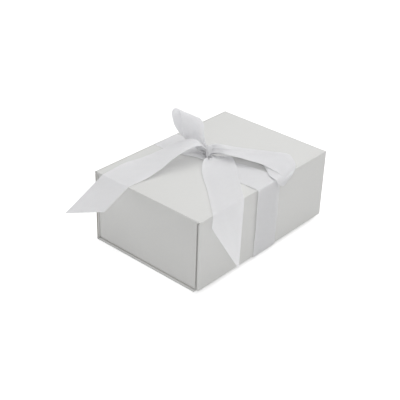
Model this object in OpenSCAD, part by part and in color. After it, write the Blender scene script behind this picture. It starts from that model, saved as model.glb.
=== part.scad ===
// Favor box: a rigid, book-style gift box with a magnetic front flap,
// dressed with a satin ribbon that is tied in a bow on the lid.
// Origin: centre of the underside. +Z is up, the flap faces -Y, the spine is at +Y.

/* [Box] */
// Length of the closed box, along X
box_l = 220; // [160:1:320]
// Depth of the closed box from flap to spine, along Y
box_w = 155; // [120:1:240]
// Height of the closed box
box_h = 89; // [60:1:140]
// Thickness of the grey board in every panel
board_t = 2; // [1.5:0.1:3]
// Thickness of the covering paper and of the lining paper
paper_t = 0.2; // [0.15:0.05:0.3]
// How far the case stands out past each end of the tray
end_overhang = 2; // [1:0.5:5]
// How far an end wall lies behind the ends of the long walls
end_recess = 0.4; // [0.2:0.1:1]
// Outer radius where paper turns round a crease
crease_r = 1.2; // [0.8:0.1:2]
// Border of covering paper that shows round the lining of lid and flap
turn_in = 4; // [2:0.5:8]
// Space between the closed flap and the tray
flap_gap = 3.8; // [1:0.1:5]
// Space between the spine and the tray
rear_gap = 0.8; // [0:0.1:3]
// Height of the flap's lower edge above the table
flap_lift = 4; // [2:0.5:8]

/* [Closure] */
// Radius of each magnet in the flap
magnet_r = 5; // [4:0.5:6]
// Thickness of each magnet
magnet_t = 1.4; // [1:0.1:1.4]
// Radius of each steel catch plate in the tray
plate_r = 6; // [4:0.5:8]
// Thickness of each steel catch plate
plate_t = 0.5; // [0.3:0.1:0.8]
// Distance of a magnet from the middle of the box
magnet_x = 65; // [40:1:70]
// Height of the magnets above the table
magnet_z = 16; // [12:1:30]

/* [Ribbon] */
// Width of the ribbon
ribbon_w = 38; // [30:1:45]
// Thickness of the ribbon
ribbon_t = 0.4; // [0.3:0.05:0.5]
// Place of the knot along X
knot_x = -2; // [-6:1:6]
// Place of the knot along Y
knot_y = 8; // [-4:1:12]
// Height that the bow's folds rise to beside the knot, above the lid
bow_h = 20; // [17:1:24]
// Length of the knot along the bow
knot_l = 7.2; // [7:0.1:9]
// Depth of the knot across the bow
knot_d = 9.5; // [9:0.5:12]
// How far the knot sits from the middle of the bow towards the front loop
knot_shift = 1.4; // [0:0.1:1.5]
// Depth of the gathers next to the knot
pleat_h = 2; // [1:0.1:2.4]
// Free length of the left tail past the lid, along its front edge
left_tail_l = 37; // [20:1:60]
// Free length of the front tail past the lid, along its left edge
front_tail_l = 14; // [8:1:30]
// Angle of the cut at the ends of the ribbon
cut_a = 43; // [20:1:50]
// Angle below level at which the left tail hangs
left_droop = 41; // [20:1:70]
// Angle below level at which the front tail hangs
front_droop = 52; // [30:1:60]

/* [Hidden] */
// One overrun for every cut, and the facets of a circle
cut = 1;
facets = 64;
// Clearance between the lid and the tray
lid_gap = 0.8;
// Ribbon off the paper it lies on, a crease strip off its panels, a disc in its pocket
ribbon_gap = 0.1;
crease_gap = 0.1;
pocket_gap = 0.05;
// Play of the ribbon in its slit at each side, and where its tail bends over the lid's edge
slit_play = 0.5;
fold_gap = 0.25;
// Height of the knot's underside over the lid, clear of the gathered band, and how far its top
// lies below the bow's height
knot_foot = 3;
knot_drop = 2.5;

// A finished panel is board with paper on both sides
panel_t = board_t + 2 * paper_t;
// The panels stop short of the corner line by this much, so that they can fold
crease = panel_t + 2 * crease_gap;
half_l = box_l / 2;
half_w = box_w / 2;
hand_x = ribbon_w / 2;
// The spine stops lower still, to let the ribbon out between it and the lid
spine_top = box_h - crease - ribbon_t;
slit_y = half_w - crease + ribbon_gap;

// The tray
tray_top = box_h - panel_t - lid_gap;
tray_front = -half_w + panel_t + flap_gap;
tray_back = half_w - panel_t - rear_gap;
tray_end = half_l - end_overhang;
floor_top = panel_t + board_t;
wall_in = paper_t + board_t;
end_in = paper_t + end_recess;

// The ribbon's mid surface lies this far above the paper
seat = ribbon_gap + ribbon_t / 2;
front_reach = half_w + knot_y;
rear_reach = half_w - knot_y;
left_reach = half_l + knot_x;
// The bow runs along this heading, in degrees from +X
bow_a = -45;
left_yaw = 15;
front_yaw = 40;
// Steps between two rows of a table, pleats across the ribbon, and steps across it
spans = 3;
loop_spans = 2;
waves = 2;
across = 8;
// The band is gathered less deeply under the knot, and the knot lightly creased
band_pleat_share = 0.4;
knot_crease_share = 0.04;

paper_c = "#ECEAE6";
inner_c = "#F4F3F0";
board_c = "#A9A59C";
ribbon_c = "#E9E9F0";
steel_c = "#9C9EA2";

// A block between two corners
module block(lo, hi) {
  translate(lo)
    cube(hi - lo);
}

// A board wrapped in paper: the outer skin with the board and the lining's bed left out
module cover(lo, hi, bed_lo, bed_hi) {
  skin = [paper_t, paper_t, paper_t];
  difference() {
    block(lo, hi);
    block(lo + skin, hi - skin);
    block(bed_lo, bed_hi);
  }
}

// A paper strip round the corner between two panels that stop short of it by over and by down.
// The corner is at the origin and the legs run +Y and -Z.
module corner_strip(over, down, width) {
  top_l = over - crease_gap;
  side_l = down - crease_gap;
  rotate([90, 0, 90])
    linear_extrude(width, center = true)
      difference() {
        union() {
          translate([crease_r, -side_l])
            square([top_l - crease_r, side_l]);
          translate([0, -side_l])
            square([top_l, side_l - crease_r]);
          translate([crease_r, -crease_r])
            circle(crease_r, $fn = facets);
        }
        translate([crease_r, -crease_r])
          circle(crease_r - paper_t, $fn = facets);
        translate([paper_t, -side_l - cut])
          square([top_l, side_l + cut - crease_r]);
        translate([crease_r, -side_l - cut])
          square([top_l, side_l + cut - paper_t]);
      }
}

// A row of two discs that face -Y, with their outer face at y
module discs(r, t, y) {
  for (x = [-magnet_x, magnet_x])
    translate([x, y, magnet_z])
      rotate([-90, 0, 0])
        cylinder(r = r, h = t, $fn = facets);
}

// Smooth curve through a list of points, n steps from each point to the next
function between(a, b, c, d, t) =
  0.5 * (2 * b + (c - a) * t + (2 * a - 5 * b + 4 * c - d) * t * t
         + (3 * b - a - 3 * c + d) * t * t * t);
function curve(p, n) =
  let (m = len(p) - 1)
  let (first = 2 * p[0] - p[1])
  let (last = 2 * p[m] - p[m - 1])
  let (q = concat([first], p, [last]))
  concat([for (i = [0:m - 1]) for (k = [0:n - 1]) between(q[i], q[i + 1], q[i + 2], q[i + 3], k / n)],
         [p[m]]);

// A table of shares set out from the knot's place on the lid, in the given units
function placed(shares, unit) =
  [for (s = shares) [knot_x + s[0] * unit[0], knot_y + s[1] * unit[1], box_h + seat + s[2] * unit[2]]];
function halfway(p, q) = [for (i = [0:len(p) - 1]) (p[i] + q[i]) / 2];

// Sheet of points through three long curves, gathered into pleats where it is drawn in
function sheet(near, mid, far) =
  [for (i = [0:len(near) - 1]) [for (j = [0:across])
    let (u = j / across)
    near[i] * (1 - u) * (1 - 2 * u) + mid[i] * 4 * u * (1 - u) + far[i] * u * (2 * u - 1)]];
function facing(g, i, j) =
  let (n = len(g) - 1)
  let (m = len(g[0]) - 1)
  let (along = g[min(i + 1, n)][j] - g[max(i - 1, 0)][j])
  let (over = g[i][min(j + 1, m)] - g[i][max(j - 1, 0)])
  let (c = cross(along, over))
  c / norm(c);
function pleated(g, depth) =
  [for (i = [0:len(g) - 1])
    let (drawn = max(0, 1 - norm(g[i][across] - g[i][0]) / ribbon_w))
    [for (j = [0:across]) g[i][j] + facing(g, i, j) * depth * drawn * cos(360 * waves * j / across)]];

// Closed solid of the ribbon's thickness about a sheet of points
module ribbon(g) {
  n = len(g);
  m = len(g[0]);
  k = n * m;
  half = ribbon_t / 2;
  top = [for (i = [0:n - 1]) for (j = [0:m - 1]) g[i][j] + facing(g, i, j) * half];
  low = [for (i = [0:n - 1]) for (j = [0:m - 1]) g[i][j] - facing(g, i, j) * half];
  skins = [for (i = [0:n - 2]) for (j = [0:m - 2])
    let (a = i * m + j)
    let (b = a + m)
    each [[a, b + 1, b], [a, a + 1, b + 1], [a + k, b + k, b + k + 1], [a + k, b + k + 1, a + k + 1]]];
  sides = [for (i = [0:n - 2])
    let (a = i * m)
    let (b = a + m)
    let (c = a + m - 1)
    let (d = b + m - 1)
    each [[a, b, b + k], [a, b + k, a + k], [c, d + k, d], [c, c + k, d + k]]];
  ends = [for (j = [0:m - 2])
    let (a = j)
    let (b = (n - 1) * m + j)
    each [[a, a + k, a + k + 1], [a, a + k + 1, a + 1], [b, b + k + 1, b + k], [b, b + 1, b + k + 1]]];
  polyhedron(points = concat(top, low), faces = concat(skins, sides, ends), convexity = 6);
}

// Panels of the case

module base_board() {
  color(board_c)
    block([-half_l + paper_t, tray_front + paper_t, paper_t],
          [half_l - paper_t, half_w - crease - paper_t, panel_t - paper_t]);
}

module base_cover() {
  color(paper_c)
    difference() {
      block([-half_l, tray_front, 0], [half_l, half_w - crease, panel_t]);
      base_board();
    }
}

module spine_board() {
  color(board_c)
    block([-half_l + paper_t, half_w - panel_t + paper_t, crease + paper_t],
          [half_l - paper_t, half_w - paper_t, spine_top - paper_t]);
}

module spine_cover() {
  color(paper_c)
    difference() {
      block([-half_l, half_w - panel_t, crease], [half_l, half_w, spine_top]);
      spine_board();
    }
}

module lower_crease() {
  color(paper_c)
    translate([0, half_w, 0])
      rotate([180, 0, 0])
        corner_strip(crease, crease, box_l);
}

// The upper crease has a slit that the ribbon comes out of
module rear_crease() {
  color(paper_c)
    difference() {
      translate([0, half_w, box_h])
        mirror([0, 1, 0])
          corner_strip(crease, box_h - spine_top, box_l);
      block([-hand_x - slit_play, half_w - crease, box_h - crease],
            [hand_x + slit_play, slit_y + ribbon_t + ribbon_gap, box_h + cut]);
    }
}

module lid_board() {
  color(board_c)
    block([-half_l + paper_t, -half_w + crease + paper_t, box_h - panel_t + paper_t],
          [half_l - paper_t, half_w - crease - paper_t, box_h - paper_t]);
}

module lid_cover() {
  color(paper_c)
    cover([-half_l, -half_w + crease, box_h - panel_t], [half_l, half_w - crease, box_h],
          [-half_l + turn_in, -half_w + crease + turn_in, box_h - panel_t - cut],
          [half_l - turn_in, half_w - crease - turn_in, box_h - panel_t + paper_t]);
}

module lid_lining() {
  color(inner_c)
    block([-half_l + turn_in, -half_w + crease + turn_in, box_h - panel_t],
          [half_l - turn_in, half_w - crease - turn_in, box_h - panel_t + paper_t]);
}

module front_crease() {
  color(paper_c)
    translate([0, -half_w, box_h])
      corner_strip(crease, crease, box_l);
}

module flap_board() {
  color(board_c)
    difference() {
      block([-half_l + paper_t, -half_w + paper_t, flap_lift + paper_t],
            [half_l - paper_t, -half_w + panel_t - paper_t, box_h - crease - paper_t]);
      discs(magnet_r + pocket_gap, magnet_t + cut, -half_w + panel_t - paper_t - magnet_t);
    }
}

module flap_cover() {
  color(paper_c)
    cover([-half_l, -half_w, flap_lift], [half_l, -half_w + panel_t, box_h - crease],
          [-half_l + turn_in, -half_w + panel_t - paper_t, flap_lift + turn_in],
          [half_l - turn_in, -half_w + panel_t + cut, box_h - crease - turn_in]);
}

module flap_lining() {
  color(inner_c)
    block([-half_l + turn_in, -half_w + panel_t - paper_t, flap_lift + turn_in],
          [half_l - turn_in, -half_w + panel_t, box_h - crease - turn_in]);
}

module flap_magnets() {
  color(steel_c)
    discs(magnet_r, magnet_t, -half_w + panel_t - paper_t - magnet_t);
}

// The tray

// The tray seen from above, drawn in by d on every side. Its end walls lie back between the long
// walls, which the floor's edge doesn't.
module tray_foot(d) {
  translate([-tray_end + d, tray_front + d])
    square([2 * (tray_end - d), tray_back - tray_front - 2 * d]);
}
module tray_outline(d) {
  pocket_l = end_recess + d + cut;
  pocket_y = wall_in + paper_t - d;
  difference() {
    tray_foot(d);
    for (x = [-tray_end - cut, tray_end + cut - pocket_l])
      translate([x, tray_front + pocket_y])
        square([pocket_l, tray_back - tray_front - 2 * pocket_y]);
  }
}

module tray_floor() {
  color(board_c)
    block([-tray_end + paper_t, tray_front + paper_t, panel_t],
          [tray_end - paper_t, tray_back - paper_t, floor_top]);
}

module tray_front_wall() {
  color(board_c)
    difference() {
      block([-tray_end + paper_t, tray_front + paper_t, floor_top],
            [tray_end - paper_t, tray_front + wall_in, tray_top - paper_t]);
      discs(plate_r + pocket_gap, plate_t + cut, tray_front + paper_t - cut);
    }
}

module tray_rear_wall() {
  color(board_c)
    block([-tray_end + paper_t, tray_back - wall_in, floor_top],
          [tray_end - paper_t, tray_back - paper_t, tray_top - paper_t]);
}

module tray_end_wall() {
  color(board_c)
    block([-tray_end + end_in, tray_front + wall_in, floor_top],
          [-tray_end + end_in + board_t, tray_back - wall_in, tray_top - paper_t]);
}

module tray_left_wall() {
  tray_end_wall();
}

module tray_right_wall() {
  mirror([1, 0, 0])
    tray_end_wall();
}

// Covering paper round the tray's outside and over its rim
module tray_cover() {
  room = wall_in + end_recess;
  foot_h = floor_top + paper_t;
  color(paper_c)
    difference() {
      union() {
        translate([0, 0, panel_t])
          linear_extrude(foot_h - panel_t)
            tray_foot(0);
        translate([0, 0, foot_h])
          linear_extrude(tray_top - foot_h)
            tray_outline(0);
      }
      translate([0, 0, panel_t - cut])
        linear_extrude(board_t + cut)
          tray_foot(paper_t);
      translate([0, 0, floor_top - cut])
        linear_extrude(tray_top - paper_t - floor_top + cut)
          tray_outline(paper_t);
      translate([-tray_end + room, tray_front + wall_in, panel_t])
        cube([2 * (tray_end - room), tray_back - tray_front - 2 * wall_in, tray_top]);
    }
}

module tray_lining() {
  lo = [-tray_end + end_in + board_t, tray_front + wall_in, floor_top];
  hi = [tray_end - end_in - board_t, tray_back - wall_in, tray_top];
  color(inner_c)
    difference() {
      block(lo, hi);
      block(lo + [paper_t, paper_t, paper_t], hi + [-paper_t, -paper_t, cut]);
    }
}

module catch_plates() {
  color(steel_c)
    discs(plate_r, plate_t, tray_front + paper_t);
}

// The ribbon

// Each row: place from knot to lid edge, drift to the knot's x, half width, rise
band_shares = [
  [-1, 0, 1, 0], [-0.8, 0, 1, 0], [-0.58, 0.1, 0.94, 0.01], [-0.36, 0.5, 0.7, 0.04],
  [-0.16, 0.9, 0.42, 0.06], [0, 1, 0.34, 0.06], [0.16, 0.9, 0.42, 0.06],
  [0.36, 0.5, 0.74, 0.05], [0.58, 0.1, 0.96, 0.02], [0.8, 0, 1, 0], [1, 0, 1, 0]
];
function band_edge(side) =
  [for (s = band_shares)
    let (y = s[0] < 0 ? knot_y + s[0] * (front_reach - ribbon_gap) : knot_y + s[0] * (rear_reach - crease))
    [s[1] * knot_x + side * s[2] * hand_x, y, box_h + seat + s[3] * bow_h]];

module band_over_lid() {
  near = curve(band_edge(-1), loop_spans);
  far = curve(band_edge(1), loop_spans);
  color(ribbon_c)
    ribbon(pleated(sheet(near, halfway(near, far), far), pleat_h * band_pleat_share));
}

module band_under_lid() {
  under = box_h - panel_t - ribbon_gap;
  color(ribbon_c)
    union() {
      block([-hand_x, -half_w + crease + ribbon_gap, under - ribbon_t], [hand_x, slit_y + ribbon_t, under]);
      block([-hand_x, slit_y, under - ribbon_t], [hand_x, slit_y + ribbon_t, box_h + seat + ribbon_t / 2]);
    }
}

module band_down_flap() {
  color(ribbon_c)
    block([-hand_x, -half_w - ribbon_gap - ribbon_t, flap_lift - ribbon_gap - ribbon_t],
          [hand_x, -half_w - ribbon_gap, box_h - crease_gap]);
}

module band_behind_flap() {
  front = -half_w - ribbon_gap;
  back = -half_w + panel_t + ribbon_gap;
  low = flap_lift - ribbon_gap;
  // Ends below the stretch of band under the lid
  top = box_h - panel_t - ribbon_t - 2 * ribbon_gap;
  color(ribbon_c)
    union() {
      block([-hand_x, front, low - ribbon_t], [hand_x, back + ribbon_t, low]);
      block([-hand_x, back, low - ribbon_t], [hand_x, back + ribbon_t, top]);
    }
}

// The knot: a short sleeve of ribbon drawn round the bow, waisted and lightly creased
module knot() {
  rings = 10;
  sides = 28;
  knot_top = bow_h - knot_drop;
  mid_z = (knot_top + knot_foot) / 2;
  tall = (knot_top - knot_foot) / 2;
  // Radius along the knot: full at its rims, drawn in at its waist and closed at both ends
  swell_shares = [0.3, 0.72, 0.95, 1, 0.97, 0.95, 0.97, 1, 0.95, 0.72, 0.3];
  length_shares = [-1, -1, -0.94, -0.8, -0.4, 0, 0.4, 0.8, 0.94, 1, 1];
  dish_shares = [0.12, 0.06, 0, 0, 0, 0, 0, 0, 0, -0.06, -0.12];
  points = [for (i = [0:rings]) for (j = [0:sides - 1])
    let (t = 360 * j / sides)
    let (crease_line = 1 - knot_crease_share * max(0, cos(5 * t + 20 * i)))
    [(length_shares[i] + dish_shares[i]) * knot_l / 2,
     swell_shares[i] * crease_line * cos(t) * knot_d / 2,
     swell_shares[i] * crease_line * sin(t) * tall]];
  walls = [for (i = [0:rings - 1]) for (j = [0:sides - 1])
    let (a = i * sides + j)
    let (b = i * sides + (j + 1) % sides)
    each [[a, a + sides, b + sides], [a, b + sides, b]]];
  caps = [[for (j = [0:sides - 1]) j], [for (j = [sides - 1:-1:0]) rings * sides + j]];
  color(ribbon_c)
    translate([knot_x, knot_y, box_h + mid_z])
      rotate([0, 0, bow_a])
        translate([knot_shift, 0, 0])
          polyhedron(points = points, faces = concat(walls, caps), convexity = 4);
}

// Upright loop: up from the knot, over at its top and back down. Shares of the ribbon's width.
up_left_shares = [
  [0.046, 0.174, 0.2], [-0.05, 0.49, 0.24], [-0.2, 0.7, 0.45], [-0.35, 0.7, 0.77], [-0.41, 0.69, 1.09],
  [-0.41, 0.73, 1.31], [-0.41, 0.81, 1.45], [-0.44, 0.92, 1.5], [-0.47, 1.03, 1.36], [-0.43, 1.03, 1.08],
  [-0.32, 0.98, 0.76], [-0.06, 0.84, 0.38], [0.046, 0.274, 0.1]
];
up_right_shares = [
  [0.186, 0.134, 0.24], [0.2, 0.26, 0.36], [0.24, 0.34, 0.53], [0.29, 0.41, 0.66], [0.38, 0.49, 0.75],
  [0.43, 0.58, 0.82], [0.46, 0.68, 0.89], [0.48, 0.78, 0.91], [0.48, 0.85, 0.83], [0.43, 0.79, 0.7],
  [0.36, 0.71, 0.56], [0.22, 0.52, 0.32], [0.186, 0.204, 0.13]
];

module upright_loop() {
  unit = [ribbon_w, ribbon_w, ribbon_w];
  near = curve(placed(up_left_shares, unit), spans);
  far = curve(placed(up_right_shares, unit), spans);
  color(ribbon_c)
    ribbon(pleated(sheet(near, halfway(near, far), far), pleat_h));
}

// Front loop: forward from the knot, over the front of the lid and back along it.
// Shares of the ribbon's width, of the way to the lid's front edge, and of the bow's height.
loop_near_shares = [
  [0, -0.088, 0.5], [0.1, -0.165, 0.52], [0.3, -0.378, 0.48], [0.47, -0.55, 0.4], [0.63, -0.69, 0.3],
  [0.68, -0.81, 0.2], [0.68, -0.94, 0.15], [0.7, -1.035, -0.03], [0.68, -1.05, -0.5],
  [0.42, -1.045, -0.22], [0.35, -1.02, 0.08], [0.43, -0.89, 0.08], [0.64, -0.76, 0.09], [0.83, -0.57, 0.16],
  [0.68, -0.3, 0.26], [0.14, -0.09, 0.42]
];
loop_mid_shares = [
  [0.1, -0.044, 0.66], [0.25, -0.105, 0.66], [0.53, -0.28, 0.6], [0.79, -0.47, 0.5], [1.03, -0.63, 0.45],
  [1.16, -0.76, 0.38], [1.21, -0.87, 0.32], [1.24, -0.96, 0.22], [1.26, -1.02, 0.06],
  [1.16, -1.01, 0.06], [1, -0.88, 0.12], [0.93, -0.74, 0.18], [0.92, -0.61, 0.24], [0.88, -0.44, 0.28],
  [0.64, -0.23, 0.3], [0.18, -0.055, 0.46]
];
loop_far_shares = [
  [0.183, -0.006, 0.74], [0.38, -0.05, 0.68], [0.79, -0.19, 0.45], [1.18, -0.37, 0.32], [1.5, -0.54, 0.25],
  [1.68, -0.67, 0.25], [1.74, -0.76, 0.25], [1.68, -0.83, 0.22], [1.58, -0.88, 0.2],
  [1.63, -0.8, 0.1], [1.55, -0.69, 0.12], [1.39, -0.56, 0.14], [1.18, -0.43, 0.15], [0.92, -0.29, 0.18],
  [0.6, -0.155, 0.28], [0.23, -0.03, 0.5]
];

module front_loop() {
  unit = [ribbon_w, front_reach, bow_h];
  near = curve(placed(loop_near_shares, unit), loop_spans);
  mid = curve(placed(loop_mid_shares, unit), loop_spans);
  far = curve(placed(loop_far_shares, unit), loop_spans);
  color(ribbon_c)
    ribbon(pleated(sheet(near, mid, far), pleat_h));
}

// Left tail: out of the knot, down to the lid and over its left edge.
// Shares of the way to the lid's left edge, of the ribbon's width and of the bow's height.
left_front_shares = [
  [-0.046, -0.026, 0.68], [-0.086, 0.02, 0.92], [-0.22, 0.11, 0.9], [-0.42, 0.21, 0.7], [-0.57, 0.29, 0.4],
  [-0.77, 0.37, 0.1], [-1, 0.453, 0]
];
left_rear_shares = [
  [-0.023, 0.184, 0.74], [-0.046, 0.44, 1.05], [-0.15, 0.79, 0.85], [-0.33, 1.1, 0.4], [-0.52, 1.29, 0.2],
  [-0.72, 1.43, 0.16], [-1, 1.49, 0]
];

module left_tail() {
  unit = [left_reach, ribbon_w, bow_h];
  near_top = curve(placed(left_front_shares, unit), spans);
  far_top = curve(placed(left_rear_shares, unit), spans);
  near_fold = near_top[len(near_top) - 1] - [seat, 0, 0];
  far_fold = far_top[len(far_top) - 1] - [seat, 0, 0];
  way = [-cos(left_yaw) * cos(left_droop), sin(left_yaw), -cos(left_yaw) * sin(left_droop)];
  fold_l = norm(far_fold - near_fold);
  far_l = left_tail_l + ribbon_w * tan(cut_a) - fold_l * sin(left_yaw);
  steps = 4;
  near = concat(near_top, [for (i = [0:steps]) near_fold + way * left_tail_l * i / steps]);
  far = concat(far_top, [for (i = [0:steps]) far_fold + way * far_l * i / steps]);
  color(ribbon_c)
    ribbon(pleated(sheet(near, halfway(near, far), far), pleat_h));
}

// Front tail: out from under the knot and flat along the lid to its front edge.
// Shares of the ribbon's width, of the way to the lid's front edge, and of the bow's height.
front_left_shares = [
  [-0.18, -0.05, 0.22], [-0.43, -0.09, 0.22], [-0.73, -0.19, 0.1], [-1.06, -0.35, 0.02],
  [-1.42, -0.55, 0.01], [-1.87, -0.77, 0.01], [-2.34, -1, 0.01]
];
front_right_shares = [
  [0.13, -0.14, 0.26], [0.32, -0.2, 0.26], [0.39, -0.29, 0.18], [0.11, -0.46, 0.1],
  [-0.29, -0.64, 0.06], [-0.66, -0.82, 0.04], [-1.03, -1, 0.01]
];

module front_tail() {
  unit = [ribbon_w, front_reach - fold_gap, bow_h];
  near = curve(placed(front_left_shares, unit), spans);
  far = curve(placed(front_right_shares, unit), spans);
  color(ribbon_c)
    ribbon(pleated(sheet(near, halfway(near, far), far), pleat_h));
}

// The end of the front tail hangs over the lid's front edge, clear of the flap
module front_tail_end() {
  unit = [ribbon_w, front_reach + fold_gap, bow_h];
  near_fold = placed([front_left_shares[len(front_left_shares) - 1]], unit)[0];
  far_fold = placed([front_right_shares[len(front_right_shares) - 1]], unit)[0];
  way = [-sin(front_yaw), -cos(front_yaw) * cos(front_droop), -cos(front_yaw) * sin(front_droop)];
  far_l = front_tail_l + norm(far_fold - near_fold) * sin(front_yaw) + ribbon_w * tan(cut_a);
  steps = 6;
  near = [for (i = [0:steps]) near_fold + way * front_tail_l * i / steps];
  far = [for (i = [0:steps]) far_fold + way * far_l * i / steps];
  color(ribbon_c)
    ribbon(sheet(near, halfway(near, far), far));
}

base_board();
base_cover();
spine_board();
spine_cover();
lower_crease();
rear_crease();
tray_floor();
tray_front_wall();
tray_rear_wall();
tray_left_wall();
tray_right_wall();
tray_cover();
tray_lining();
catch_plates();
lid_board();
lid_cover();
lid_lining();
front_crease();
flap_board();
flap_cover();
flap_lining();
flap_magnets();
band_over_lid();
band_under_lid();
band_down_flap();
band_behind_flap();
knot();
upright_loop();
front_loop();
left_tail();
front_tail();
front_tail_end();
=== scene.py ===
"""A ribboned favor box: papered boards, a lined tray and a satin bow."""

import math

import bmesh
import bpy
import numpy as np
from bpy.props import FloatProperty, FloatVectorProperty, IntProperty, PointerProperty
from mathutils import Matrix, Vector


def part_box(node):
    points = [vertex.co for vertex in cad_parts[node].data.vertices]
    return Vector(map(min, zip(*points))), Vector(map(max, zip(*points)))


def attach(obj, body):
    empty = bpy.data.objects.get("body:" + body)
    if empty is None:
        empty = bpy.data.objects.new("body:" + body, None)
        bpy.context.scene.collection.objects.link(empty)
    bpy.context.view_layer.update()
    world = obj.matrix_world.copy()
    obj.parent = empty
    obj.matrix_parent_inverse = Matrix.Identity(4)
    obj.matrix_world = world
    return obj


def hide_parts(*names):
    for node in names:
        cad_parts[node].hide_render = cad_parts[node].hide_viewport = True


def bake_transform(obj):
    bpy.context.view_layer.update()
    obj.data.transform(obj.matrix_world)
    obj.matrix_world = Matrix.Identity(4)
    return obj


bl_info = {
    "name": "Favor box",
    "version": (1, 0, 0),
    "blender": (4, 5, 0),
    "location": "View3D > Sidebar > Favor box",
    "description": "Dresses a book-style favor box in paper, board and satin ribbon",
    "category": "Object",
}

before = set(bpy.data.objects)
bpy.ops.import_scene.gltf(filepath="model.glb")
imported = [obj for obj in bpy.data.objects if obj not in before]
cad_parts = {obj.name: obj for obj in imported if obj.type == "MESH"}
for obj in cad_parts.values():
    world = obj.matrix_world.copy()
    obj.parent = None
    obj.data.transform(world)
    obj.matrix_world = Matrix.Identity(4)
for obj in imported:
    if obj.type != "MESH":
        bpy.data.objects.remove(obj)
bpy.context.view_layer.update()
MM = 0.001

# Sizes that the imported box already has
LID_LOW, LID_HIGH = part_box("lid_cover")
FLAP_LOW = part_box("flap_cover")[0]
TRAY_LOW, TRAY_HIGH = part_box("tray_cover")
BAND_LOW, BAND_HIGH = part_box("band_down_flap")
LINING_LOW, LINING_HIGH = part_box("lid_lining")
SPINE_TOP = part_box("spine_cover")[1].z
BOX_TOP = LID_HIGH.z
HALF_L = LID_HIGH.x
HALF_W = -FLAP_LOW.y
PANEL_T = LID_HIGH.z - LID_LOW.z
CREASE = HALF_W + LID_LOW.y
PAPER_T = LINING_HIGH.z - LINING_LOW.z
BOARD_T = PANEL_T - 2 * PAPER_T
CREASE_GAP = (CREASE - PANEL_T) / 2
RIBBON_W = BAND_HIGH.x - BAND_LOW.x
RIBBON_T = BAND_HIGH.y - BAND_LOW.y
RIBBON_GAP = -HALF_W - BAND_HIGH.y
SEAT = RIBBON_GAP + RIBBON_T / 2

# The knot's place on the lid, and the heading of the bow through it
KNOT_X = -2 * MM
KNOT_Y = 8 * MM
BOW_HEADING = math.radians(-45)
FRONT_REACH = HALF_W + KNOT_Y
REAR_REACH = HALF_W - KNOT_Y
LEFT_REACH = HALF_L + KNOT_X

# The slit that lets the ribbon out of the rear crease is wider than the ribbon by this at each side
SLIT_SPARE = 0.5 * MM
# The front crease's papers are this thick, as a share of its outer radius
FOLDED = 0.95
# The tray's paper turns over its edges at this radius
TRAY_ROUND = 0.3 * MM
# Steps round a board's edge and round a crease
EDGE_STEPS, CREASE_STEPS = 3, 10
# Places closer than TOUCH count as one, and a choice by place reaches LOOSE past its bounds
TOUCH = 0.01 * MM
LOOSE = 0.05 * MM
# The spine's paper ends in a rim this wide round the board's bare end, which lies this deep in it. The bare
# grey board there is painted shade for the dark strip at the spine's ends
SHADE_END_RIM = 0.05 * MM
SHADE_END_DEPTH = 1.5 * PAPER_T
# The share of light that the satin lets through
SATIN_THIN = 0.44


def linear(hex_colour):
    """Turns an sRGB hex colour into the linear one that a shader takes."""
    parts = [int(hex_colour[i:i + 2], 16) / 255 for i in (1, 3, 5)]
    return tuple(p / 12.92 if p <= 0.04045 else ((p + 0.055) / 1.055) ** 2.4 for p in parts)


def in_mm(name, description, default, low, high):
    """A length property, with its default and limits given in millimetres."""
    return FloatProperty(name=name, description=description, default=default * MM, min=low * MM,
                         max=high * MM, unit="LENGTH", precision=5)


def in_radians(name, description, default):
    """An angle property."""
    return FloatProperty(name=name, description=description, default=default, subtype="ANGLE",
                         unit="ROTATION", precision=5)


def in_hex(name, description, hex_colour):
    """A colour property, with its default given as an sRGB hex colour."""
    return FloatVectorProperty(name=name, description=description, default=linear(hex_colour), min=0, max=1,
                               subtype="COLOR")


class FavorBoxPaperwork(bpy.types.PropertyGroup):
    """Sizes of the wrapped panels and of the tray"""
    turn_in: in_mm("Turn-in", "Border of covering paper round a lining", 4, 2, 8)
    edge_round: in_mm("Edge rounding", "Radius where paper turns over a board's long edge", 0.35, 0.1, 0.8)
    mitre_gap: in_mm("Mitre line", "Width of the line where two turned-in papers meet", 0.24, 0.05, 0.5)
    crease_round: in_mm("Crease rounding", "Outer radius of the paper round a crease", 1.2, 0.8, 2)
    end_recess: in_mm("End wall recess", "How far an end wall lies behind the long walls' ends", 0.4, 0.2, 1)
    foot_gap: in_mm("Foot gap", "Height of the shadow line between tray and base", 0.9, 0, 2)
    foot_inset: in_mm("Foot inset", "How far the tray's floor lies back in that line", 1.6, 0, 4)


class FavorBoxRibbonwork(bpy.types.PropertyGroup):
    """Make of the ribbon and its folds"""
    pleat_depth: in_mm("Pleat depth", "Depth of the gathers where the ribbon is drawn in", 2, 0, 3)
    slack: in_mm("Slack", "How far the ribbon stands off the flap's front", 0.9, 0, 2)
    curl: in_mm("Selvedge curl", "How far a flat run's selvedges lift", 0.9, 0, 1.5)
    steps_along: IntProperty(name="Steps along", description="Steps from one row of the tables to the next",
                             default=8, min=2, max=16)
    steps_across: IntProperty(name="Steps across", description="Steps across the ribbon's width",
                              default=48, min=8, max=64)
    knot_length: in_mm("Knot length", "Length of the knot along the bow", 7.2, 7, 9)
    knot_shift: in_mm("Knot shift", "How far the knot sits towards the front loop", 1.4, 0, 1.5)
    knot_depth: in_mm("Knot depth", "Depth of the knot across the bow", 9.5, 9, 12)
    bow_height: in_mm("Bow height", "Height of the bow's folds beside the knot", 20, 17, 24)


class FavorBoxColours(bpy.types.PropertyGroup):
    """Colours of the papers, the board and the ribbon"""
    cover: in_hex("Covering paper", "Colour of the paper on the outside", "#E4E4E2")
    lining: in_hex("Lining paper", "Colour of the paper inside", "#EBEAE6")
    # The grey board also serves as painted shade at the spine's ends, where it is left bare
    board: in_hex("Grey board", "Colour of the board's raw edge", "#A39F96")
    ribbon: in_hex("Ribbon", "Colour of the satin", "#FAFAFB")


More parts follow.
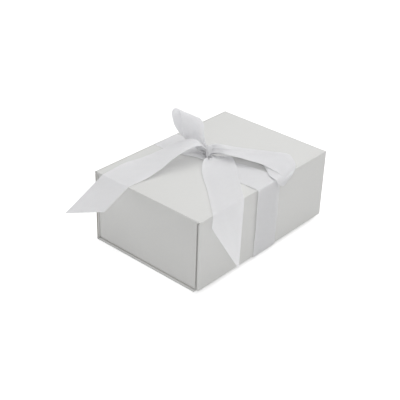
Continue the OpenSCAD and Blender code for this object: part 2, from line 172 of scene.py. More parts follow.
class FavorBoxStage(bpy.types.PropertyGroup):
    """Camera and lamps"""
    azimuth: in_radians("Azimuth", "Camera's turn round the box, from the flap", -0.859395)
    elevation: in_radians("Elevation", "Camera's height angle", 0.533627)
    roll: in_radians("Roll", "Camera's turn about its own axis", 0.033204)
    distance: in_mm("Distance", "Camera's distance from the box's foot", 1069.357, 300, 5000)
    aim_right: in_mm("Aim right", "Camera's shift to its own right", -13.1076, -500, 500)
    aim_up: in_mm("Aim up", "Camera's shift up its own frame", 32.0943, -500, 500)
    lens: FloatProperty(name="Lens", description="Focal length in millimetres",
                        default=81.607, min=20, max=300)
    sky: FloatProperty(name="Sky light", description="Strength of the even light all round",
                       default=0.42, min=0, max=1)
    lamp: FloatProperty(name="Softbox", description="Power of the lamp overhead, in watts",
                        default=14.0, min=0, max=60)
    fill: FloatProperty(name="Fill", description="Power of the wide lamp beside the camera, in watts",
                        default=3.0, min=0, max=60)


# Materials


def feed(tree, source, node, key):
    """Links an output, or the first output of a node, to an input of another node."""
    tree.links.new(source.outputs[0] if isinstance(source, bpy.types.Node) else source, node.inputs[key])


def add_node(tree, kind, values=None, links=None):
    """Adds one node with its settings and what feeds its inputs."""
    node = tree.nodes.new(kind)
    for key, value in (values or {}).items():
        if isinstance(key, str) and hasattr(node, key):
            setattr(node, key, value)
        else:
            node.inputs[key].default_value = value
    for key, source in (links or {}).items():
        feed(tree, source, node, key)
    return node


def start_material(name, values):
    """Starts a material with one Principled shader, and gives back its tree and that shader."""
    old = bpy.data.materials.get(name)
    if old:
        bpy.data.materials.remove(old)
    material = bpy.data.materials.new(name)
    material.use_nodes = True
    tree = material.node_tree
    tree.nodes.clear()
    shader = add_node(tree, "ShaderNodeBsdfPrincipled", values)
    add_node(tree, "ShaderNodeOutputMaterial", None, {"Surface": shader})
    return tree, shader


def resurface(tree, source):
    """Puts another shader's result on the surface."""
    feed(tree, source, next(node for node in tree.nodes if node.type == "OUTPUT_MATERIAL"), "Surface")


def tint(tree, shader, colour, factor, low, high):
    """Gives a shader the colour, made darker or lighter, between two levels, by a factor from 0 to 1."""
    ends = [tuple(c * level for c in colour) + (1,) for level in (low, high)]
    mixed = add_node(tree, "ShaderNodeMix", {"data_type": "RGBA", 6: ends[0], 7: ends[1]},
                     {0: factor}).outputs[2]
    feed(tree, mixed, shader, "Base Color")
    return mixed


def coated_paper(colour):
    """Coated art paper, matt varnished and glued round grey board."""
    # The coat makes it smooth and softly glossy. The fibres leave a faint cloudiness, and the damp
    # glue lets the board pull it into very slight waves.
    tree, shader = start_material("coated_art_paper_glued", {"Roughness": 0.55, "IOR": 1.5})
    place = add_node(tree, "ShaderNodeTexCoord").outputs["Object"]
    # Fibre clouds about 3 mm wide, with flecks of 0.5 mm
    cloud = add_node(tree, "ShaderNodeTexNoise", {"Scale": 330.0, "Detail": 4.0, "Roughness": 0.6},
                     {"Vector": place})
    tint(tree, shader, colour, cloud, 0.975, 1.015)
    # Waves of the board about 50 mm long
    wave = add_node(tree, "ShaderNodeTexNoise", {"Scale": 20.0, "Detail": 1.0}, {"Vector": place})
    slow = add_node(tree, "ShaderNodeBump", {"Strength": 0.5, "Distance": 0.3 * MM}, {"Height": wave})
    fine = add_node(tree, "ShaderNodeBump", {"Strength": 0.25, "Distance": 0.02 * MM},
                    {"Height": cloud, "Normal": slow})
    feed(tree, fine, shader, "Normal")


def uncoated_paper(colour):
    """Uncoated wood-free paper, pasted in as a lining."""
    # Without a coat it is dull and a little warmer, and its fibres can be seen close up.
    tree, shader = start_material("uncoated_lining_paper", {"Roughness": 0.86, "IOR": 1.48})
    place = add_node(tree, "ShaderNodeTexCoord").outputs["Object"]
    # Fibres about 1 mm long, drawn out along the paper's grain
    grain = add_node(tree, "ShaderNodeMapping", {"Scale": (1.0, 3.0, 3.0)}, {"Vector": place})
    fibre = add_node(tree, "ShaderNodeTexNoise", {"Scale": 900.0, "Detail": 5.0, "Roughness": 0.7},
                     {"Vector": grain})
    tint(tree, shader, colour, fibre, 0.96, 1.02)
    bump = add_node(tree, "ShaderNodeBump", {"Strength": 0.4, "Distance": 0.03 * MM}, {"Height": fibre})
    feed(tree, bump, shader, "Normal")


def recycled_board(colour):
    """Grey board pressed from waste paper."""
    # Pulp of many papers gives it a speckled grey with darker and lighter flecks and no gloss.
    tree, shader = start_material("recycled_grey_board", {"Roughness": 0.92, "IOR": 1.47})
    place = add_node(tree, "ShaderNodeTexCoord").outputs["Object"]
    # Flecks of about 0.8 mm over clouds of 5 mm
    pulp = add_node(tree, "ShaderNodeTexNoise", {"Scale": 200.0, "Detail": 6.0, "Roughness": 0.75},
                    {"Vector": place})
    fleck = add_node(tree, "ShaderNodeTexVoronoi", {"Scale": 1250.0}, {"Vector": place})
    both = add_node(tree, "ShaderNodeMath", {"operation": "MULTIPLY"}, {0: pulp, 1: fleck})
    tint(tree, shader, colour, both, 0.85, 1.3)
    bump = add_node(tree, "ShaderNodeBump", {"Strength": 0.5, "Distance": 0.06 * MM}, {"Height": pulp})
    feed(tree, bump, shader, "Normal")


def woven_satin(colour):
    """Double-faced polyester satin ribbon, woven with a firm selvedge."""
    # Long floats of the warp make it shine along its length, the fine ribs of the weft show
    # across it, and both edges end in a slightly raised, denser selvedge.
    tree, shader = start_material("woven_satin_ribbon", {
        "Roughness": 0.42, "IOR": 1.5, "Anisotropic": 0.45, "Sheen Weight": 0.15, "Sheen Roughness": 0.4})
    cloth = add_node(tree, "ShaderNodeUVMap", {"uv_map": "Cloth"})
    across = add_node(tree, "ShaderNodeSeparateXYZ", None, {"Vector": cloth})

    def ribs(axis, spacing):
        """A sine over one of the map's two lengths."""
        turns = add_node(tree, "ShaderNodeMath", {"operation": "MULTIPLY", 1: 2 * math.pi / spacing},
                         {0: across.outputs[axis]})
        return add_node(tree, "ShaderNodeMath", {"operation": "SINE"}, {0: turns})

    # Real warp threads lie 0.08 mm apart, too fine to show, so they are drawn 0.3 mm apart.
    # The weft's ribs lie 0.25 mm apart and are drawn 0.5 mm apart
    weave = add_node(tree, "ShaderNodeMath", {"operation": "ADD"},
                     {0: ribs("X", 0.3 * MM), 1: ribs("Y", 0.5 * MM)})
    # The selvedge is 1 mm wide on each side
    side = add_node(tree, "ShaderNodeMath", {"operation": "PINGPONG", 1: RIBBON_W / 2},
                    {0: across.outputs["X"]})
    selvedge = add_node(tree, "ShaderNodeMapRange",
                        {"From Min": 0.8 * MM, "From Max": 1.1 * MM, "To Min": 1.0, "To Max": 0.0},
                        {"Value": side})
    # Uneven yarn leaves patches about 6 mm wide
    slub = add_node(tree, "ShaderNodeTexNoise", {"Scale": 160.0, "Detail": 3.0}, {"Vector": cloth})
    yarn = tint(tree, shader, colour, slub, 0.965, 1.02)
    thread = add_node(tree, "ShaderNodeBump", {"Strength": 0.25, "Distance": 0.02 * MM}, {"Height": weave})
    edge = add_node(tree, "ShaderNodeBump", {"Strength": 0.6, "Distance": 0.12 * MM},
                    {"Height": selvedge, "Normal": thread})
    feed(tree, edge, shader, "Normal")
    grain = add_node(tree, "ShaderNodeTangent", {"direction_type": "UV_MAP", "uv_map": "Cloth"})
    feed(tree, grain, shader, "Tangent")
    # The ribbon lets light through, which keeps its folds and the lid below it pale
    through = add_node(tree, "ShaderNodeBsdfTranslucent", None, {"Color": yarn, "Normal": edge})
    resurface(tree, add_node(tree, "ShaderNodeMixShader", {0: SATIN_THIN}, {1: shader, 2: through}))


def plated_magnet():
    """Neodymium disc, nickel plated and tumbled."""
    # Bright, slightly yellow grey metal with a soft orange-peel in its gloss.
    tree, shader = start_material(
        "nickel_plating", {"Base Color": linear("#CFCBC2") + (1,), "Metallic": 1.0, "Roughness": 0.2})
    place = add_node(tree, "ShaderNodeTexCoord").outputs["Object"]
    # Tumbling marks about 0.7 mm wide
    marks = add_node(tree, "ShaderNodeTexNoise", {"Scale": 1400.0, "Detail": 2.0}, {"Vector": place})
    bump = add_node(tree, "ShaderNodeBump", {"Strength": 0.3, "Distance": 0.01 * MM}, {"Height": marks})
    feed(tree, bump, shader, "Normal")


def zinc_steel():
    """Steel strip, zinc plated and punched to a disc."""
    # Rolling leaves fine parallel lines under a bluish, half-dull zinc.
    tree, shader = start_material(
        "zinc_plated_steel", {"Base Color": linear("#B9BCC0") + (1,), "Metallic": 1.0, "Roughness": 0.38})
    place = add_node(tree, "ShaderNodeTexCoord").outputs["Object"]
    # Rolling lines 0.2 mm apart
    lines = add_node(tree, "ShaderNodeMapping", {"Scale": (0.05, 1.0, 1.0)}, {"Vector": place})
    rolled = add_node(tree, "ShaderNodeTexNoise", {"Scale": 5000.0, "Detail": 2.0}, {"Vector": lines})
    bump = add_node(tree, "ShaderNodeBump", {"Strength": 0.35, "Distance": 0.01 * MM}, {"Height": rolled})
    feed(tree, bump, shader, "Normal")


def finish_with(piece, name):
    """Gives a piece one of the materials as its only one."""
    material = bpy.data.materials[name]
    if not piece.material_slots:
        piece.data.materials.append(material)
    for place in piece.material_slots:
        place.material = material


# Modelling by hand


def deselect():
    """Leaves edit mode, with nothing selected."""
    if bpy.context.object and bpy.context.object.mode != "OBJECT":
        bpy.ops.object.mode_set(mode="OBJECT")
    bpy.ops.object.select_all(action="DESELECT")


def take(piece):
    """Selects one piece alone and makes it the active one."""
    deselect()
    piece.select_set(True)
    bpy.context.view_layer.objects.active = piece


def start_block(name, low, high):
    """Adds a cube, sized and placed between two corners."""
    deselect()
    bpy.ops.mesh.primitive_cube_add(size=1, location=(Vector(low) + Vector(high)) / 2)
    block = bpy.context.object
    block.name = name
    block.scale = Vector(high) - Vector(low)
    bpy.ops.object.transform_apply()
    return block


def start_plane(name, low, high, height):
    """Adds a level plane between two corners."""
    deselect()
    middle = ((low[0] + high[0]) / 2, (low[1] + high[1]) / 2, height)
    bpy.ops.mesh.primitive_plane_add(size=1, location=middle)
    plane = bpy.context.object
    plane.name = name
    plane.scale = (high[0] - low[0], high[1] - low[1], 1)
    bpy.ops.object.transform_apply()
    return plane


def pick(piece, kind, test):
    """Opens a piece in edit mode, with the faces or edges selected that pass a test."""
    take(piece)
    bpy.ops.object.mode_set(mode="EDIT")
    bpy.ops.mesh.select_mode(type=kind)
    bpy.ops.mesh.select_all(action="DESELECT")
    mesh = bmesh.from_edit_mesh(piece.data)
    chosen = [part for part in (mesh.faces if kind == "FACE" else mesh.edges) if test(part)]
    if not chosen:
        raise RuntimeError(f"nothing to select on {piece.name}")
    for part in chosen:
        part.select_set(True)
    mesh.select_flush_mode()
    bmesh.update_edit_mesh(piece.data)


def slice_at(piece, axis, place):
    """Cuts edges into a whole piece along a level of one axis."""
    normal, point = [0, 0, 0], [0, 0, 0]
    normal[axis], point[axis] = 1, place
    pick(piece, "FACE", lambda face: True)
    bpy.ops.mesh.bisect(plane_co=point, plane_no=normal)


def pull(x=0.0, y=0.0, z=0.0):
    """Extrudes the selected edges by a distance along each axis."""
    bpy.ops.mesh.extrude_edges_move(TRANSFORM_OT_translate={"value": (x, y, z)})


def near(value, place):
    return abs(value - place) < TOUCH


def faces_at(axis, level):
    """A test for the four-sided faces at a level of one axis."""
    return lambda face: len(face.verts) == 4 and near(face.calc_center_median()[axis], level)


def edges_at(**places):
    """A test for the edges that lie at some places, by axis."""
    return lambda edge: all(near(getattr(v.co, axis), place)
                            for v in edge.verts for axis, place in places.items())


def close_up(piece):
    """Merges doubled points and turns every face outwards."""
    pick(piece, "FACE", lambda face: True)
    bpy.ops.mesh.remove_doubles(threshold=TOUCH)
    bpy.ops.mesh.normals_make_consistent()
    deselect()


def apply_modifier(piece, kind, **values):
    """Gives a piece a modifier and applies it."""
    take(piece)
    modifier = piece.modifiers.new(kind.title(), kind)
    for key, value in values.items():
        setattr(modifier, key, value)
    bpy.ops.object.modifier_apply(modifier=modifier.name)


def shade(piece, angle=40):
    """Smooths the shading over edges blunter than an angle in degrees."""
    take(piece)
    bpy.ops.object.shade_smooth_by_angle(angle=math.radians(angle))
    deselect()


def in_paper(piece):
    """Smooths a piece and gives it the covering paper."""
    shade(piece)
    finish_with(piece, "coated_art_paper_glued")


def wrapped_panel(name, node, body, axis, side, lined, open_ends=False):
    """A board wrapped in paper, with its turned-in border and the lining's bed on one side."""
    paper = bpy.context.scene.favor_box_paper
    low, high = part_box(node)
    panel = start_block(name, low, high)
    pick(panel, "EDGE", lambda edge: True)
    bpy.ops.mesh.bevel(offset=paper.edge_round, segments=EDGE_STEPS)
    if lined:
        inner = (high if side > 0 else low)[axis]
        pick(panel, "FACE", faces_at(axis, inner))
        bpy.ops.mesh.inset(thickness=paper.turn_in - paper.edge_round, depth=0)
        bed = [0, 0, 0]
        bed[axis] = -side * PAPER_T
        bpy.ops.mesh.extrude_region_move(TRANSFORM_OT_translate={"value": bed})

        def mitred(edge):
            a, b = (v.co for v in edge.verts)
            level = near(a[axis], inner) and near(b[axis], inner)
            return level and sum(abs(a[i] - b[i]) > MM for i in range(3)) == 2

        pick(panel, "EDGE", mitred)
        bpy.ops.mesh.bevel(offset=paper.mitre_gap / 2, segments=1)
        bpy.ops.mesh.inset(thickness=paper.mitre_gap / 8, depth=-PAPER_T / 2)
    if open_ends:
        # The ends go in past the paper, to the board, whose grey end is painted shade at the spine's ends
        for end in (low.x, high.x):
            pick(panel, "FACE", faces_at(0, end))
            bpy.ops.mesh.inset(thickness=SHADE_END_RIM, depth=0)
            inward = math.copysign(SHADE_END_DEPTH, -end)
            bpy.ops.mesh.extrude_region_move(TRANSFORM_OT_translate={"value": (inward, 0, 0)})
    in_paper(panel)
    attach(panel, body)
    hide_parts(node)


def crease_strip(name, corner, over, down, side, up, slit=None, thickness=PAPER_T):
    """A strip of paper bent round a corner of the case, from one panel to the next."""
    radius = bpy.context.scene.favor_box_paper.crease_round
    bend_y, bend_z = corner.y + side * radius, corner.z - up * radius
    inner_y = corner.y + side * (over - CREASE_GAP)
    # The level leg comes first, and its edge is spun down into the other leg
    strip = start_plane(name, (-HALF_L, min(bend_y, inner_y)), (HALF_L, max(bend_y, inner_y)), corner.z)
    pick(strip, "EDGE", edges_at(y=bend_y))
    bpy.ops.mesh.spin(steps=CREASE_STEPS, angle=math.radians(90), center=(0, bend_y, bend_z),
                      axis=(-side * up, 0, 0))
    # Nothing lies here, and pick stops the script, if the spin went the wrong way
    pick(strip, "EDGE", edges_at(y=corner.y, z=bend_z))
    pull(z=-up * (down - CREASE_GAP - radius))
    if slit:
        half, depth = slit
        for level in (-half, half):
            slice_at(strip, 0, level)
        slice_at(strip, 1, depth)

        def in_slit(face):
            middle = face.calc_center_median()
            return abs(middle.x) < half and side * (middle.y - depth) > 0 and near(middle.z, corner.z)

        pick(strip, "FACE", in_slit)
        bpy.ops.mesh.delete(type="FACE")
    close_up(strip)
    # Paper's thickness goes inwards, to the side away from the corner
    outward = Vector((0, -side, up))
    facing_out = sum((f.normal.dot(outward) * f.area for f in strip.data.polygons), 0.0)
    apply_modifier(strip, "SOLIDIFY", thickness=thickness, offset=-1 if facing_out > 0 else 1,
                   use_even_offset=True)
    close_up(strip)
    in_paper(strip)
    return strip


# Ribbon


def smooth_path(rows, steps):
    """A smooth curve through rows of points, with some steps from each row to the next."""
    p = np.array(rows, float)
    p = np.vstack([2 * p[0] - p[1], p, 2 * p[-1] - p[-2]])
    t = (np.arange(steps) / steps)[:, None]
    parts = [0.5 * (2 * b + (c - a) * t + (2 * a - 5 * b + 4 * c - d) * t ** 2
                    + (3 * b - a - 3 * c + d) * t ** 3)
             for a, b, c, d in zip(p, p[1:], p[2:], p[3:])]
    return np.vstack(parts + [p[-2:-1]])


def edge_path(rows, reach):
    """One edge of a ribbon, from rows of shares of three lengths, set out from the knot's place."""
    places = np.array(rows, float) * np.array(reach) + np.array([KNOT_X, KNOT_Y, BOX_TOP + SEAT])
    return smooth_path(places, bpy.context.scene.favor_box_ribbon.steps_along)


def across(near_path, far_path, steps, middle=None):
    """Rows of points across a ribbon, through its two edges and its middle."""
    if middle is None:
        middle = (near_path + far_path) / 2
    u = (np.arange(steps + 1) / steps)[None, :, None]
    n, m, f = (path[:, None, :] for path in (near_path, middle, far_path))
    return n * (1 - u) * (1 - 2 * u) + m * 4 * u * (1 - u) + f * u * (2 * u - 1)


def facing(grid):
    """Unit normals of a sheet of points."""
    normals = np.cross(np.gradient(grid, axis=0), np.gradient(grid, axis=1))
    return normals / np.maximum(np.linalg.norm(normals, axis=2, keepdims=True), 1e-12)


def gathered(grid, depth, seed):
    """Lays two broad folds into a sheet where it is drawn in, and fine ones where it is drawn in hard."""
    u = np.linspace(0, 1, grid.shape[1])[None, :]
    v = np.linspace(0, 1, grid.shape[0])[:, None]
    width = np.linalg.norm(grid[:, -1] - grid[:, 0], axis=1)
    drawn = np.clip(1 - width / RIBBON_W, 0, 1)[:, None]
    hard = np.clip((drawn - FINE_FROM) / FINE_OVER, 0, 1)
    hard = hard * hard * (3 - 2 * hard)
    broad = drawn * np.cos(4 * math.pi * u)
    fine = FINE_DEPTH * hard * np.cos(2 * math.pi * (FINE_FOLDS * u + FINE_DRIFT * v + seed))
    return grid + facing(grid) * (depth * (broad * (1 - 0.5 * hard) + fine))[:, :, None]


def pleated(edges, share, seed, middle=None):
    """A ribbon between two edges, with a share of the full pleats where it is drawn in."""
    work = bpy.context.scene.favor_box_ribbon
    return gathered(across(*edges, work.steps_across, middle), work.pleat_depth * share, seed)


def curled(grid, height, shares=None):
    """Lifts both selvedges a little off what the ribbon lies on, all along or by a share for each row."""
    u = np.abs(np.linspace(-1, 1, grid.shape[1]))[None, :, None]
    shares = np.ones(grid.shape[0]) if shares is None else shares
    profile = np.clip((u - (1 - CURL_WIDTH)) / CURL_WIDTH, 0, 1) ** CURL_POWER
    return grid + facing(grid) * height * profile * shares[:, None, None]


def stand(name, data):
    """Puts new data into the scene as an object."""
    thing = bpy.data.objects.new(name, data)
    bpy.context.scene.collection.objects.link(thing)
    return thing


def ribbon_piece(name, grid, thickness=RIBBON_T):
    """Turns a sheet of points into cloth with its own thickness and a map in real lengths."""
    rows, columns = grid.shape[:2]
    index = np.arange(rows * columns).reshape(rows, columns)
    quads = np.stack([index[:-1, :-1], index[:-1, 1:], index[1:, 1:], index[1:, :-1]], axis=2).reshape(-1, 4)
    mesh = bpy.data.meshes.new(name)
    mesh.from_pydata(grid.reshape(-1, 3).tolist(), [], quads.tolist())
    piece = stand(name, mesh)
    middle = grid[:, columns // 2]
    along = np.concatenate([[0], np.cumsum(np.linalg.norm(np.diff(middle, axis=0), axis=1))])
    place = np.stack(np.broadcast_arrays(np.linspace(0, RIBBON_W, columns)[None, :], along[:, None]), axis=2)
    corners = np.zeros(len(mesh.loops), np.int32)
    mesh.loops.foreach_get("vertex_index", corners)
    cloth = mesh.uv_layers.new(name="Cloth")
    cloth.data.foreach_set("uv", place.reshape(-1, 2)[corners].astype(np.float32).ravel())
    apply_modifier(piece, "SOLIDIFY", thickness=thickness, offset=0)
    shade(piece, 60)
    finish_with(piece, "woven_satin_ribbon")
    return piece, float(along[-1])


# The fine folds come in once the ribbon has lost this share of its width, over this further share
FINE_FROM, FINE_OVER = 0.35, 0.4
# How many there are, how deep beside the broad ones, and how far they drift sideways along the ribbon
FINE_FOLDS, FINE_DEPTH, FINE_DRIFT = 5.2, 0.75, 0.35
# A selvedge curls over this share of the half width
CURL_WIDTH, CURL_POWER = 0.25, 1.5

# Shares of the full pleats on the ribbon under the knot and on the left tail
UNDER_PLEATS, LEFT_PLEATS = 0.25, 0.4
# Radius at which the ribbon turns over an edge, how far from a turn its straight runs start, the rows
# in such a run and in the long one under the lid, and the places of the close rows beside the inner fold
TURN_R = 0.6 * MM
RUN_START = 6 * MM
RUN_ROWS, UNDER_ROWS = 10, 12
NEAR_FOLD = np.arange(1.2, 6, 0.8) * MM
# Its selvedges curl from this many of the table's rows before the front edge to this many of its own
# rows past it, where the curl fades over the last ones
CURL_ROWS, CURL_END, CURL_FADE = 1.5, 12, 3

# Each row: place from knot to lid edge, drift to the knot's x, half width, rise
BAND_SHARES = [
    [-1, 0, 1, 0], [-0.8, 0, 1, 0], [-0.58, 0.1, 0.94, 0.01], [-0.36, 0.5, 0.7, 0.04],
    [-0.16, 0.9, 0.42, 0.06], [0, 1, 0.34, 0.06], [0.16, 0.9, 0.42, 0.06],
    [0.36, 0.5, 0.74, 0.05], [0.58, 0.1, 0.96, 0.02], [0.8, 0, 1, 0], [1, 0, 1, 0],
]

# The bow's rows. The first row of each table, and of a loop's the last one too, lies hidden in the knot.
# Upright loop: up from the knot, over at its top and back down, in shares of the ribbon's width
UP_LEFT = [
    [-0.02, 0.05, 0.24],
    [0.046, 0.174, 0.2], [-0.05, 0.49, 0.24], [-0.2, 0.7, 0.45], [-0.35, 0.7, 0.77], [-0.41, 0.69, 1.09],
    [-0.41, 0.73, 1.31], [-0.41, 0.81, 1.45], [-0.44, 0.92, 1.5], [-0.47, 1.03, 1.36], [-0.43, 1.03, 1.08],
    [-0.32, 0.98, 0.76], [-0.06, 0.84, 0.38], [0.046, 0.274, 0.1],
    [-0.02, 0.05, 0.16],
]
UP_RIGHT = [
    [0.05, 0.07, 0.26],
    [0.186, 0.134, 0.24], [0.2, 0.26, 0.36], [0.24, 0.34, 0.53], [0.29, 0.41, 0.66], [0.38, 0.49, 0.75],
    [0.43, 0.58, 0.82], [0.46, 0.68, 0.89], [0.48, 0.78, 0.91], [0.48, 0.85, 0.83], [0.43, 0.79, 0.7],
    [0.36, 0.71, 0.56], [0.22, 0.52, 0.32], [0.186, 0.204, 0.13],
    [0.05, 0.07, 0.18],
]

# Front loop: forward from the knot, over the front of the lid and back along it, in shares of
# the ribbon's width, of the way to the lid's front edge and of the bow's height
LOOP_NEAR = [
    [0.0, -0.04, 0.2],
    [0, -0.088, 0.5], [0.1, -0.165, 0.52], [0.3, -0.378, 0.48], [0.47, -0.55, 0.4], [0.63, -0.69, 0.3],
    [0.68, -0.81, 0.2], [0.68, -0.94, 0.15], [0.7, -1.035, -0.03], [0.68, -1.05, -0.5],
    [0.42, -1.045, -0.22], [0.35, -1.02, 0.08], [0.43, -0.89, 0.08], [0.64, -0.76, 0.09], [0.83, -0.57, 0.16],
    [0.68, -0.3, 0.26], [0.14, -0.09, 0.42],
    [0.0, -0.034, 0.2],
]
LOOP_MID = [
    [0.028, -0.012, 0.54],
    [0.1, -0.044, 0.66], [0.25, -0.105, 0.66], [0.53, -0.28, 0.6], [0.79, -0.47, 0.5], [1.03, -0.63, 0.45],
    [1.16, -0.76, 0.38], [1.21, -0.87, 0.32], [1.24, -0.96, 0.22], [1.26, -1.02, 0.06],
    [1.16, -1.01, 0.06], [1, -0.88, 0.12], [0.93, -0.74, 0.18], [0.92, -0.61, 0.24], [0.88, -0.44, 0.28],
    [0.64, -0.23, 0.3], [0.18, -0.055, 0.46],
    [0.028, -0.012, 0.36],
]
LOOP_FAR = [
    [0.076, 0.009, 0.6],
    [0.183, -0.006, 0.74], [0.38, -0.05, 0.68], [0.79, -0.19, 0.45], [1.18, -0.37, 0.32], [1.5, -0.54, 0.25],
    [1.68, -0.67, 0.25], [1.74, -0.76, 0.25], [1.68, -0.83, 0.22], [1.58, -0.88, 0.2],
    [1.63, -0.8, 0.1], [1.55, -0.69, 0.12], [1.39, -0.56, 0.14], [1.18, -0.43, 0.15], [0.92, -0.29, 0.18],
    [0.6, -0.155, 0.28], [0.23, -0.03, 0.5],
    [0.076, 0.009, 0.38],
]

# Left tail, out of the knot and down to the lid's left edge, in shares of the way to that edge, of
# the ribbon's width and of the bow's height
LEFT_FRONT = [
    [0.005, -0.02, 0.5],
    [-0.05, 0.0, 0.82], [-0.1, 0.03, 1.0], [-0.22, 0.11, 1.04], [-0.42, 0.21, 0.8], [-0.57, 0.29, 0.4],
    [-0.77, 0.37, 0.1], [-1, 0.453, 0],
]
LEFT_REAR = [
    [0.002, 0.08, 0.6],
    [-0.023, 0.184, 0.74], [-0.046, 0.44, 1.05], [-0.15, 0.79, 0.85], [-0.33, 1.1, 0.4], [-0.52, 1.29, 0.2],
    [-0.72, 1.43, 0.16], [-1, 1.49, 0],
]

# Front tail, out from under the knot and flat along the lid to its front edge, in the front loop's shares
FRONT_LEFT = [
    [-0.04, 0.0, 0.12],
    [-0.18, -0.05, 0.22], [-0.43, -0.09, 0.22], [-0.73, -0.19, 0.1], [-1.06, -0.35, 0.02],
    [-1.42, -0.55, 0.01], [-1.87, -0.77, 0.01], [-2.34, -1, 0.01],
]
FRONT_RIGHT = [
    [0.08, -0.03, 0.13],
    [0.13, -0.14, 0.26], [0.32, -0.2, 0.26], [0.39, -0.29, 0.18], [0.11, -0.46, 0.1],
    [-0.29, -0.64, 0.06], [-0.66, -0.82, 0.04], [-1.03, -1, 0.01],
]

# Past the lid's edge each tail hangs straight: its heading, its droop and its shorter edge's length
LEFT_HANG = math.radians(15), math.radians(41), 37 * MM
FRONT_HANG = math.radians(40), math.radians(52), 14 * MM
# The slant of both cut ends
CUT = math.tan(math.radians(40))

# The knot stands from KNOT_FOOT over the lid to KNOT_DIP below the bow's height
KNOT_FOOT, KNOT_DIP = 3 * MM, 2.5 * MM
# It bulges at a share of that, and draws back from there by a power of a circle's arc
KNOT_BULGE, KNOT_LEAN = 0.2, 1.5
# The narrow outer fold lies over the others, and each next one stops a little short of the last
KNOT_TURNS = [-0.3, 1, -1, 0.92, -0.86, 0.8]
# Spacing of its layers in thicknesses, what the outer fold stands out, and the pinch at each side's end
KNOT_SPACING, KNOT_PROUD, KNOT_PINCH = 0.9, 0.4 * MM, 0.25 * MM
# Share by which its folds slide in towards its front and back, its ribbon's thickness and its steps round
KNOT_WAIST, KNOT_THIN, KNOT_STEPS = 0.1, 0.8, 73

# The floor, how far it lies below the box, the white that the camera sees added to it, and the lamps
# over it, which point at one place: name, place, width and the property that gives the power
FLOOR_SIZE = 2.4
FLOOR_DROP = 0.05 * MM
FLOOR_LIFT = 0.48
LAMPS = [
    ("softbox", Vector((0.45, 0, 1.5)), 2.2, "lamp"),
    ("fill", Vector((-1.0, -0.95, 0.7)), 0.8, "fill"),
]
LAMP_AIM = Vector((0, 0, 0.05))
SENSOR_WIDTH = 36


class FAVORBOX_OT_materials(bpy.types.Operator):
    """Make the papers, the board, the satin and the metals"""
    bl_idname = "favor_box.materials"
    bl_label = "Materials"

    def execute(self, context):
        colours = context.scene.favor_box_colours
        coated_paper(tuple(colours.cover))
        uncoated_paper(tuple(colours.lining))
        recycled_board(tuple(colours.board))
        woven_satin(tuple(colours.ribbon))
        plated_magnet()
        zinc_steel()
        return {"FINISHED"}


class FAVORBOX_OT_inner_parts(bpy.types.Operator):
    """Finish the boards, linings and metal discs that the box is built round"""
    bl_idname = "favor_box.inner_parts"
    bl_label = "Boards, linings and discs"

    def execute(self, context):
        finishes = {
            "recycled_grey_board": ["base_board", "spine_board", "lid_board", "flap_board", "tray_front_wall",
                                    "tray_rear_wall", "tray_left_wall", "tray_right_wall"],
            "uncoated_lining_paper": ["lid_lining", "flap_lining", "tray_lining"],
            "nickel_plating": ["flap_magnets"],
            "zinc_plated_steel": ["catch_plates"],
        }
        for finish, nodes in finishes.items():
            for node in nodes:
                finish_with(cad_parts[node], finish)
        return {"FINISHED"}


class FAVORBOX_OT_case(bpy.types.Operator):
    """Wrap the lid, flap, spine and base in covering paper"""
    bl_idname = "favor_box.case"
    bl_label = "Case"

    def execute(self, context):
        wrapped_panel("lid_wrap", "lid_cover", "lid", 2, -1, True)
        wrapped_panel("flap_wrap", "flap_cover", "flap", 1, 1, True)
        # The paper is trimmed flush at the spine's ends, where the board's grey end shows as painted shade
        # for the dark strip there
        wrapped_panel("spine_wrap", "spine_cover", "base", 1, -1, False, open_ends=True)
        wrapped_panel("base_wrap", "base_cover", "base", 2, 1, False)
        return {"FINISHED"}


class FAVORBOX_OT_creases(bpy.types.Operator):
    """Bend the covering paper round the three creases"""
    bl_idname = "favor_box.creases"
    bl_label = "Creases"

    def execute(self, context):
        # The covering paper, its turned-in end and the lining lie together here and fill most of the fold
        front = crease_strip("front_crease_paper", Vector((0, -HALF_W, BOX_TOP)), CREASE, CREASE, 1, 1,
                             thickness=context.scene.favor_box_paper.crease_round * FOLDED)
        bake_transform(front)
        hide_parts("front_crease")
        slit = RIBBON_W / 2 + SLIT_SPARE, HALF_W - CREASE + 2 * RIBBON_GAP + RIBBON_T
        rear = crease_strip("rear_crease_paper", Vector((0, HALF_W, BOX_TOP)), CREASE, BOX_TOP - SPINE_TOP,
                            -1, 1, slit)
        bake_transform(rear)
        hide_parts("rear_crease")
        lower = crease_strip("lower_crease_paper", Vector((0, HALF_W, 0)), CREASE, CREASE, -1, -1)
        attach(lower, "base")
        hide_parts("lower_crease")
        return {"FINISHED"}


